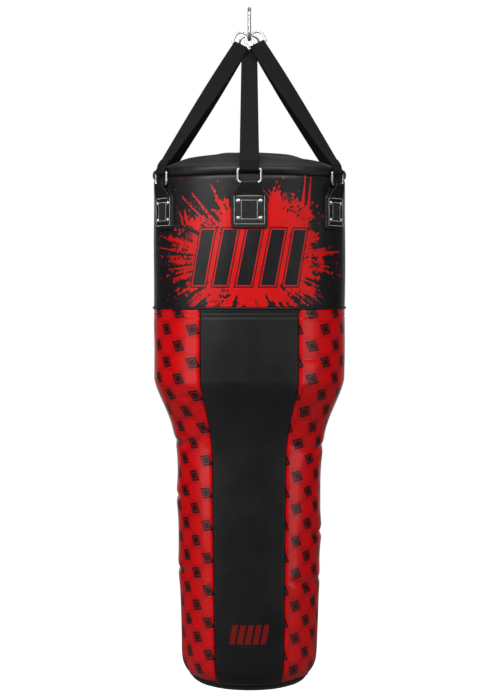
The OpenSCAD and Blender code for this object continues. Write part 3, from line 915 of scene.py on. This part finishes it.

# %% [markdown]
# ## Tubes
# Piping and thread are round cords laid along a line. One helper sweeps a ring of points along
# a path, and a flag closes it into a loop.

# %% Tube helper
def tube(points, radius, sides=8, closed=False, taper=None):
    """Points and faces of a round cord along a path. taper(k) scales the radius at point k."""
    count = len(points)
    made, faces = [], []
    for k, here in enumerate(points):
        before = points[k - 1] if closed or k else here
        after = points[(k + 1) % count] if closed or k < count - 1 else here
        way = (after - before).normalized()
        side = way.cross(Vector((0, 0, 1)))
        if side.length < 0.1:
            side = way.cross(Vector((0, 1, 0)))
        side.normalize()
        up = side.cross(way)
        r = radius * (taper(k) if taper else 1)
        for s in range(sides):
            a = math.tau * s / sides
            made.append(here + side * (r * math.cos(a)) + up * (r * math.sin(a)))
    for k in range(count if closed else count - 1):
        for s in range(sides):
            a, b = k * sides + s, k * sides + (s + 1) % sides
            far = ((k + 1) % count) * sides
            faces.append([a, b, far + (s + 1) % sides, far + s])
    if not closed:
        faces.append(list(range(sides))[::-1])
        faces.append([(count - 1) * sides + s for s in range(sides)])
    return made, faces


def joined(name, shapes, material, body="bag"):
    """One piece from several (points, faces) shapes."""
    points, faces = [], []
    for more, sides in shapes:
        faces += [[k + len(points) for k in f] for f in sides]
        points += more
    mesh = bpy.data.meshes.new(name)
    mesh.from_pydata(points, [], faces)
    mesh.uv_layers.new(name="cut")
    return piece(name, mesh, material, body)


# %% [markdown]
# ## Piping
# A cord wrapped in leather hides the seam between barrel and body. It wanders by about a
# millimetre, as a sewn cord does.

# %% Piping
piping_path = [spot(a, BARREL_R + 0.4 * MM + lumps(a, 1.0, 0.1, 0.5 * MM),
                    PIPING_Z + lumps(a, 2.0, 0.2, 1.2 * MM)) for a in barrel_angles[:-1]]
piping = joined("piping", [tube(piping_path, 3.1 * MM, sides=10, closed=True)], piping_black)
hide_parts("seam_piping")
print("piping through", len(piping_path), "points")

# %% [markdown]
# ## Stitches
# A row of stitches is not a line: each stitch is a short arched length of thread that dives into
# the leather at both ends. A stitch is a six-sided tube, and a row is a walk along a path that
# lays one every few millimetres.

# %% Stitches
def walk(path, pitch):
    """Points every pitch along a path of points, with the way ahead at each."""
    found, left = [], pitch / 2
    for a, b in zip(path, path[1:]):
        length = (b - a).length
        if length < 1e-9:
            continue
        while left <= length:
            found.append((a.lerp(b, left / length), (b - a) / length))
            left += pitch
        left -= length
    return found


def stitches(path, out_at, pitch=4.0 * MM, length=3.0 * MM, thread_r=0.42 * MM):
    """A row of stitches as (points, faces). out_at(point) is the way off the surface."""
    shapes = []
    for middle, way in walk(path, pitch):
        off = out_at(middle)
        line = []
        for t, lift in ((-1, -0.9), (-0.7, 0.3), (0, 0.8), (0.7, 0.3), (1, -0.9)):
            line.append(middle + way * (t * length / 2) + off * (lift * thread_r))
        shapes.append(tube(line, thread_r, sides=6))
    return shapes


def away_from_bag(point):
    return Vector((point.x, point.y, 0)).normalized()


topstitch = []
for below in TOPSTITCH:
    z = PIPING_Z - below
    path = [spot(a, body_radius(z) + panel_out(a, z), z) for a in barrel_angles]
    topstitch += stitches(path, away_from_bag, pitch=5 * MM, length=3.8 * MM)
row_of_thread = joined("topstitch", topstitch, black_thread)
print(len(topstitch), "topstitches")

# %% [markdown]
# ## Tabs
# Six leather tabs take the load. Each is a thick plate with a raised welt round its edge, a
# second layer sewn on with white thread, a ribbed square in the middle and four rivets. They
# are drawn flat, with x across and a height, and then wrapped on the barrel.

# %% Tab shapes
TAB_LOW, TAB_HIGH = -518.5 * MM, -397.5 * MM
TAB_FLARE, NECK_Z = -444 * MM, -427 * MM
TAB_W = 82 * MM
NECK_W = 48 * MM
TAB_THICK = 4.3 * MM
PATCH = (36.5 * MM, -512.5 * MM, -443 * MM)
INSERT = (18 * MM, -498.5 * MM, -455.5 * MM)
CORNER = 7 * MM


def on_tab(tab, x, height, out):
    return spot(TABS[tab] + math.degrees(x / BARREL_R), BARREL_R + out, height)


def tab_half(height):
    """Half the width of a tab at a height."""
    if height < TAB_LOW + CORNER:
        rise = CORNER - (height - TAB_LOW)
        return TAB_W / 2 - CORNER + math.sqrt(max(0, CORNER ** 2 - rise ** 2))
    if height < TAB_FLARE:
        return TAB_W / 2
    share = min(1, (height - TAB_FLARE) / (NECK_Z - TAB_FLARE))
    return TAB_W / 2 - (TAB_W - NECK_W) / 2 * share


def tab_rise(inward):
    """Height of the tab's face at a distance in from its edge: a round edge, a welt, a groove."""
    turn = min(1, inward / (2.4 * MM))
    face = TAB_THICK * math.sqrt(max(0, 1 - (1 - turn) ** 2))
    return face + 1.2 * MM * math.exp(-((inward - 3.2 * MM) / (1.3 * MM)) ** 2) \
        + groove(inward - 5.6 * MM, 0.7 * MM, 0.9 * MM)


def box_inward(x, height, box):
    half, low, high = box
    return min(half - abs(x), height - low, high - height)


ACROSS = [math.sin(math.pi / 2 * k / 22) for k in range(-22, 23)]


def plate(name, node, tab, rows, rise, material):
    """A plate on a tab. rows are (height, half width); rise(x, height) is how far it stands out."""
    points = [[on_tab(tab, s * half, z, rise(s * half, z)) for s in ACROSS] for z, half in rows]
    thing = surface(name, points, material, lambda i, j: (ACROSS[j] * rows[i][1], rows[i][0]))
    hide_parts(node)
    return thing


print(f"tab {TAB_W:.3f} m wide, {TAB_HIGH - TAB_LOW:.3f} m high")

# %% [markdown]
# ## Layers of a tab
# Each layer is a sheet whose points stand out by a rule: a rounded edge, a welt, a groove for the
# stitches, a sunk window for the insert and ribs across the insert itself. Two rows of white
# thread are then laid in the grooves.

# %% Layers of a tab
def tab_leather(tab):
    heights = [TAB_LOW + CORNER * (1 - math.cos(math.pi / 2 * k / 8)) for k in range(8)]
    heights += steps(TAB_LOW + CORNER, TAB_HIGH, 1.8 * MM)

    def rise(x, z):
        """Full thickness below, and a thin backing leaf behind the ring."""
        leaf = min(1, max(0, (z - TAB_FLARE - 6 * MM) / (9 * MM)))
        return tab_rise(min(tab_half(z) - abs(x), z - TAB_LOW)) * (1 - 0.8 * leaf)
    plate("tab_" + tab, "leather_tab_" + tab, tab, [(z, tab_half(z)) for z in heights], rise,
          tab_black)


def tab_patch(tab):
    half, low, high = PATCH
    rows = [(z, half) for z in steps(low, high, 1.5 * MM)]

    def rise(x, z):
        inward = min(1, box_inward(x, z, PATCH) / (1.6 * MM))
        lift = 2.2 * MM * math.sqrt(max(0, 1 - (1 - inward) ** 2))
        sunk = min(1, max(0, box_inward(x, z, INSERT) / (1.2 * MM) + 0.5))
        sewn = groove(abs(box_inward(x, z, PATCH)) - 3.6 * MM, 0.4 * MM, 0.8 * MM)
        return TAB_THICK - 0.4 * MM + lift - 1.6 * MM * sunk + sewn
    plate("patch_" + tab, "tab_patch_" + tab, tab, rows, rise, tab_black)


def tab_insert(tab):
    half, low, high = INSERT
    rows = [(z, half) for z in steps(low, high, 0.5 * MM)]

    def rise(x, z):
        inward = min(1, max(0, box_inward(x, z, INSERT) / (1.5 * MM)))
        rib = 0.35 * MM * math.sin(z * math.tau / (2.6 * MM)) * inward
        return TAB_THICK + 0.2 * MM + 1.4 * MM * inward + rib
    plate("insert_" + tab, "tab_insert_" + tab, tab, rows, rise, insert_cloth)


def box_path(tab, box, inset, out):
    """A line round a box on a tab, inset from its edge."""
    half, low, high = box[0] - inset, box[1] + inset, box[2] - inset
    corners = [(-half, low), (half, low), (half, high), (-half, high), (-half, low)]
    path = []
    for (x0, z0), (x1, z1) in zip(corners, corners[1:]):
        for t in steps(0, 1, 0.1)[:-1]:
            path.append(on_tab(tab, x0 + (x1 - x0) * t, z0 + (z1 - z0) * t, out))
    return path + path[:1]


def tab_thread(tab):
    rows = []
    for box, inset, out in ((PATCH, 3.6 * MM, 1.8 * MM), (INSERT, 0.6 * MM, 1.4 * MM)):
        rows += stitches(box_path(tab, box, inset, TAB_THICK + out), away_from_bag,
                         pitch=4.3 * MM, length=3.1 * MM, thread_r=0.55 * MM)
    sewn = joined("thread_" + tab, rows, white_thread)


for tab in TABS:
    tab_leather(tab)
    tab_patch(tab)
    tab_insert(tab)
    tab_thread(tab)
print(len(TABS), "tabs of", round(TAB_W * 1000), "mm")

# %% [markdown]
# ## Rivets
# Each rivet is a pressed cap: a flat flange, a small step and a domed head. A profile turned
# about its own axis gives the shape, and 24 of them make one piece.

# %% Rivets
RIVET_PROFILE = [(4.7, -0.6), (4.8, 0.1), (4.5, 0.4), (4.1, 0.5), (3.9, 0.9), (3.4, 1.6),
                 (2.5, 2.1), (1.3, 2.4), (0.3, 2.5)]
RIVET_X = 24.3 * MM
RIVET_Z = [-457.4 * MM, -495.8 * MM]


def turned(centre, axis, profile, sides=28):
    """A shape of revolution as (points, faces): profile is (radius, height) in millimetres."""
    side = axis.cross(Vector((0, 0, 1))).normalized()
    up = axis.cross(side)
    points, faces = [], []
    for r, h in profile:
        for s in range(sides):
            a = math.tau * s / sides
            points.append(centre + axis * h * MM
                          + side * (r * MM * math.cos(a)) + up * (r * MM * math.sin(a)))
    for i in range(len(profile) - 1):
        for s in range(sides):
            a, b = i * sides + s, i * sides + (s + 1) % sides
            faces.append([a, b, b + sides, a + sides][::-1])
    faces.append([(len(profile) - 1) * sides + s for s in range(sides)][::-1])
    return points, faces


caps = []
for tab in TABS:
    for x in (-RIVET_X, RIVET_X):
        for z in RIVET_Z:
            centre = on_tab(tab, x, z, TAB_THICK + 1.7 * MM)
            caps.append(turned(centre, away_from_bag(centre), RIVET_PROFILE))
rivets = joined("rivets", caps, nickel)
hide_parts("tab_rivets")
print(len(caps), "rivets")

# %% [markdown]
# ## Bands
# Webbing and the leather slings are flat bands. A band follows stations: a point, the way across
# the band and its width. The line is first resampled and eased, so that it bends round steel in
# a curve instead of in corners, and the section has thin edges and a slightly crowned face.

# %% Band helper
SECTION = [(-1, 0), (-0.96, 0.42), (-0.86, 0.5), (-0.45, 0.54), (0, 0.56), (0.45, 0.54),
           (0.86, 0.5), (0.96, 0.42), (1, 0), (0.96, -0.42), (0.86, -0.5), (0, -0.5),
           (-0.86, -0.5), (-0.96, -0.42)]


def resampled(stations, gap):
    """Stations every gap along the line, each (point, across, width)."""
    found = [stations[0]]
    left = gap
    for (p, a, wp), (q, b, wq) in zip(stations, stations[1:]):
        length = (q - p).length
        while left <= length:
            t = left / length
            found.append((p.lerp(q, t), a.lerp(b, t), wp + (wq - wp) * t))
            left += gap
        left -= length
    found.append(stations[-1])
    return found


def eased(stations, passes):
    for _ in range(passes):
        held = stations
        stations = [held[0]] + [
            ((a[0] + b[0] * 2 + c[0]) / 4, (a[1] + b[1] * 2 + c[1]) / 4, (a[2] + b[2] * 2 + c[2]) / 4)
            for a, b, c in zip(held, held[1:], held[2:])] + [held[-1]]
    return stations


def flow(stations, k):
    """The way ahead, the way across and the way off a band at station k."""
    before, after = stations[max(k - 1, 0)][0], stations[min(k + 1, len(stations) - 1)][0]
    way = (after - before).normalized()
    across = stations[k][1]
    across = (across - way * across.dot(way)).normalized()
    return way, across, across.cross(way)


def band_mesh(name, stations, thick):
    """A band's mesh, with its map: x across the band and y along it, in metres."""
    points, faces, corners, run = [], [], [], 0.0
    size = len(SECTION)
    lengths = []
    for k, (here, _, wide) in enumerate(stations):
        if k:
            run += (here - stations[k - 1][0]).length
        lengths.append((run, wide))
        _, across, off = flow(stations, k)
        points += [here + across * (x * wide / 2) + off * (y * thick) for x, y in SECTION]
    for k in range(len(stations) - 1):
        for s in range(size):
            ring = [(k, s), (k, s + 1), (k + 1, s + 1), (k + 1, s)]
            faces.append([r * size + c % size for r, c in ring])
            corners += [(SECTION[c % size][0] * lengths[r][1] / 2, lengths[r][0]) for r, c in ring]
    for ring in (list(range(size))[::-1], [(len(stations) - 1) * size + s for s in range(size)]):
        faces.append(ring)
        corners += [(SECTION[k % size][0] * 0.01, 0.0) for k in ring]
    mesh = bpy.data.meshes.new(name)
    mesh.from_pydata(points, [], faces)
    lay_cut(mesh, corners)
    return mesh


# %% [markdown]
# ## Slings
# From the top of each patch a leather leaf rises to the tab's ring, turns over the ring's bow
# and goes down behind it into the tab. The leaf is widest at the patch and narrows to pass
# between the ring's sides. The loop is a little longer than the bow is thick, so the ring can rock.

# %% Slings
BAR_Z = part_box("tab_ring_front")[1].z - 2.5 * MM
BOW_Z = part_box("tab_ring_front")[0].z + 2.5 * MM
RING_R = -(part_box("tab_ring_front")[0].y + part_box("tab_ring_front")[1].y) / 2
SLING_THICK = 2.4 * MM
SLING_PLAY = 3.4 * MM
SLING_WRAP = 4.3 * MM
# How far out in mm, the height in mm and the width in mm, from the patch up to the ring.
SLING_RISE = [(3.4, -448, 66), (4.2, -444.5, 70), (5.6, -440, 66), (8.0, -434, 58),
              (11.5, -427, 52), (13, -423, 46)]


def across_tab(tab):
    a = math.radians(TABS[tab])
    return Vector((math.cos(a), math.sin(a), 0))


def sling(tab):
    out = RING_R - BARREL_R
    stations = [(on_tab(tab, 0, z * MM, o * MM), across_tab(tab), wide * MM)
                for o, z, wide in SLING_RISE]
    for a in steps(-30, 90, 15) + steps(90, 215, 15):
        turn = math.radians(a)
        play = SLING_PLAY if a < 89 else 0
        place = on_tab(tab, 0, BOW_Z + SLING_WRAP * math.sin(turn),
                       out + play + SLING_WRAP * math.cos(turn))
        stations.append((place, across_tab(tab), 37 * MM))
    stations.append((on_tab(tab, 0, -425 * MM, 2.6 * MM), across_tab(tab), 38 * MM))
    stations.append((on_tab(tab, 0, -430 * MM, 2.3 * MM), across_tab(tab), 40 * MM))
    mesh = band_mesh("sling_" + tab, eased(resampled(stations, 1.2 * MM), 2), SLING_THICK)
    thing = piece("sling_" + tab, mesh, tab_black, "bag")
    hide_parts("tab_sling_" + tab)


for tab in TABS:
    sling(tab)
print(f"slings over a bow at {BOW_Z:.4f} and {RING_R:.4f} from the axis")

# %% [markdown]
# ## Where the hook rings hang
# Three rings share the hook's lower bow. The middle one hangs straight and leans back, and the
# outer two slope down to the sides. These few lines find where the bar of each one is.

# %% Hook rings
HOOK_R, BOW_R, BOW_LOW = 4 * MM, 16 * MM, -52 * MM
WIRE_R = 2.5 * MM
RING_W, RING_H, RING_CORNER = 45 * MM, 31.5 * MM, 16 * MM
TILT, CORNER_TURN = 26, 28
LEAN = {-1: -2, 0: 18.5, 1: -13.4}
SEAT_Y = {-1: 0.0, 0: 5.3 * MM, 1: -5.3 * MM}
REACH = HOOK_R + WIRE_R + 0.3 * MM


def ring_tilts(side):
    """How a ring leans back and how it slopes down to its side."""
    return (Matrix.Rotation(math.radians(LEAN[side]), 3, "X"),
            Matrix.Rotation(math.radians(-side * TILT), 3, "Y"))


def ring_turn(side, v):
    lean, slope = ring_tilts(side)
    return slope @ (lean @ Vector(v))


def ring_place(side, v):
    y = SEAT_Y[side]
    if side == 0:
        seat = Vector((0, y, BOW_LOW - math.sqrt((BOW_R - REACH) ** 2 - y ** 2)))
    else:
        normal = math.radians(-side * (TILT + CORNER_TURN))
        reach = REACH + (0.1 * MM if side < 0 else 0.6 * MM)
        seat = Vector((reach * math.sin(normal), y,
                       BOW_LOW - math.sqrt(BOW_R ** 2 - y ** 2) + reach * math.cos(normal)))
    turn = math.radians(CORNER_TURN)
    offset = -side * (RING_W / 2 - RING_CORNER + RING_CORNER * math.sin(turn))
    height = RING_H - abs(side) * RING_CORNER * (1 - math.cos(turn))
    return seat + ring_turn(side, Vector(v) - Vector((offset, 0, height)))


for side in LEAN:
    print("bar", side, [round(1000 * c, 1) for c in ring_place(side, (0, 0, 0))])

# %% [markdown]
# ## Straps
# Each strap is one length of webbing. It is sewn to itself at a front tab ring, climbs to the
# hook ring, folds over its bar and comes down to the back tab. It turns as it climbs, because
# the tab ring faces outwards and the hook ring faces forwards.

# %% Strap route
WEB_THICK = 2.2 * MM
WEB_W = 44 * MM
FOLD_W = 37 * MM
WRAP = 4.3 * MM
TAIL = 17 * MM
STRAPS = {"left": (-1, "front_left", "back_left"), "centre": (0, "front", "back"),
          "right": (1, "front_right", "back_right")}


def rim_point(tab):
    """Where a strap passes over the rim on its way down to a tab."""
    return spot(TABS[tab], BARREL_R + 5.0 * MM, RIM_Z + 5 * MM)


def leaves_fold(side, tab):
    """The angle on the fold, in the ring's own YZ plane, where the run to a tab leaves it."""
    lean, slope = ring_tilts(side)
    v = (slope @ lean).inverted() @ (rim_point(tab) - ring_place(side, (0, 0, 0)))
    spread = math.degrees(math.acos(WRAP / math.hypot(v.y, v.z)))
    toward = math.degrees(math.atan2(v.z, v.y))
    return toward, spread


def run_down(side, tab, front):
    """Stations from the fold down to a tab ring, round its bar and up the sewn tail."""
    face = 1 if front else -1
    bar = ring_turn(side, (1, 0, 0))
    toward, spread = leaves_fold(side, tab)
    leave = math.radians(toward - spread if front else toward + spread)
    top = ring_place(side, (0, WRAP * math.cos(leave), WRAP * math.sin(leave)))
    low = rim_point(tab)
    across = across_tab(tab) * face
    stations = []
    for t in steps(0, 1, 0.02):
        wide = FOLD_W + (WEB_W - FOLD_W) * t
        stations.append((top.lerp(low, t), (bar * (1 - t) + across * t).normalized(), wide))
    climb = (top - low).normalized()
    off = across.cross(-climb).normalized() * face
    if off.dot(away_from_bag(low)) < 0:
        off.negate()
    centre_out = RING_R - BARREL_R
    for out, z in ((4.6, RIM_Z - 3 * MM), (4.0, BAR_Z + 4 * MM)):
        stations.append((on_tab(tab, 0, z, out * MM), across, WEB_W))
    for a in steps(180, 360, 15):
        turn = math.radians(a)
        place = on_tab(tab, 0, BAR_Z + WRAP * math.sin(turn), centre_out + WRAP * math.cos(turn))
        stations.append((place, across, WEB_W))
    layer = WEB_THICK * 1.08
    stations.append((on_tab(tab, 0, BAR_Z + 5 * MM, centre_out + 2.4 * MM), across, WEB_W))
    stations.append((on_tab(tab, 0, RIM_Z, 5.2 * MM + layer), across, WEB_W))
    stations.append((low + off * layer + climb * 2 * MM, across, WEB_W))
    stations.append((low + off * layer + climb * TAIL, across, WEB_W))
    return stations


def strap_stations(side, front_tab, back_tab):
    bar = ring_turn(side, (1, 0, 0))
    front = run_down(side, front_tab, True)
    back = run_down(side, back_tab, False)
    toward, spread = leaves_fold(side, front_tab)
    start = (toward - spread) % 360
    toward, spread = leaves_fold(side, back_tab)
    end = toward + spread
    fold = []
    for a in steps(start, end, 12)[1:-1]:
        turn = math.radians(a)
        place = ring_place(side, (0, WRAP * math.cos(turn), WRAP * math.sin(turn)))
        fold.append((place, bar, FOLD_W))
    return front[::-1] + fold + back


print("fold at the left hook ring, degrees:", [round(a) for a in leaves_fold(-1, "front_left")])

# %% Straps
for name, (side, front_tab, back_tab) in STRAPS.items():
    stations = eased(resampled(strap_stations(side, front_tab, back_tab), 1.6 * MM), 2)
    mesh = band_mesh("webbing_" + name, stations, WEB_THICK)
    strap = piece("webbing_" + name, mesh, webbing, None)
    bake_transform(strap)
    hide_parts("strap_" + name)
    length = sum((b[0] - a[0]).length for a, b in zip(stations, stations[1:]))
    print(name, "strap", round(length, 3), "m")

# %% [markdown]
# ## Base and pull loop
# The base is a round piece sewn to the foot of the panels with a thin piping, and it bulges down
# under the weight of the filling. A short length of webbing is sewn across it at both ends, and
# its slack middle is a loop that can tie the bag down.

# %% Base
# Each pair is a share of the radius and a drop in mm.
BASE_PROFILE = [(1.0, 0.0), (0.985, -5), (0.955, -10.5), (0.91, -15), (0.84, -18.5), (0.74, -21),
                (0.6, -22.6), (0.45, -23.6), (0.3, -24.1), (0.15, -24.4), (0.02, -24.5)]
SEAM_R = body_radius(BASE_SEAM_Z)
base_angles = steps(-180, 180, 2 * COLUMN)[:-1]
base_rows = [[spot(a, (SEAM_R + panel_out(a, BASE_SEAM_Z) * (s > 0.9)) * s,
                   BASE_SEAM_Z + (drop + (1 - s) * 1.2 * noise.noise(spot(a, s * 2, 9))) * MM)
              for a in base_angles] for s, drop in BASE_PROFILE]


def base_cut(i, j):
    return tuple(spot(base_angles[j % len(base_angles)], SEAM_R * BASE_PROFILE[i][0], 0).xy)


base = surface("base_skin", base_rows, skin_black, base_cut, closed=True, flip=True,
               thick=SKIN_THICK)
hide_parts("base_panel")
seam_path = [spot(a, SEAM_R + panel_out(a, BASE_SEAM_Z) + 0.6 * MM, BASE_SEAM_Z) for a in base_angles]
base_seam = joined("base_piping", [tube(seam_path, 1.8 * MM, closed=True)], piping_black)
print(f"base seam of radius {SEAM_R:.3f} m")

# %% Pull loop
LOOP_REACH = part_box("base_loop")[1].y
LOOP_W = 38 * MM
loop_stations = []
for t in steps(-1, 1, 0.02):
    hump = 4 * MM * max(0, math.cos(t * math.pi / 1.2))
    sewn = 15.8 * MM + 2.2 * MM * math.cos(t * math.pi / 2)
    place = Vector((0, t * LOOP_REACH, BASE_Z - sewn - hump))
    loop_stations.append((place, Vector((1, 0, 0)), LOOP_W))
base_loop = piece("pull_loop", band_mesh("pull_loop", loop_stations, WEB_THICK), webbing, "bag")
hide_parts("base_loop")

print(f"pull loop {2 * LOOP_REACH:.3f} m from end to end")

# %% [markdown]
# ## Steel
# The hook, its gate and the rings are hard and exactly made, so they keep the frame's own shapes.
# The hook and gate are zinc plated, a little greyer and duller than the nickel of the rings.

# %% Steel
for name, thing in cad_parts.items():
    if thing.hide_render:
        continue
    plate_finish = zinc if name.startswith(("carabiner", "gate")) else nickel
    thing.data.materials.clear()
    thing.data.materials.append(plate_finish)

# %% Check the size
shown_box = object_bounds()
growth = [[round(1000 * (b - a), 1) for a, b in zip(x, y)] for x, y in zip(cad_box, shown_box)]
print("grows by", growth, "mm")
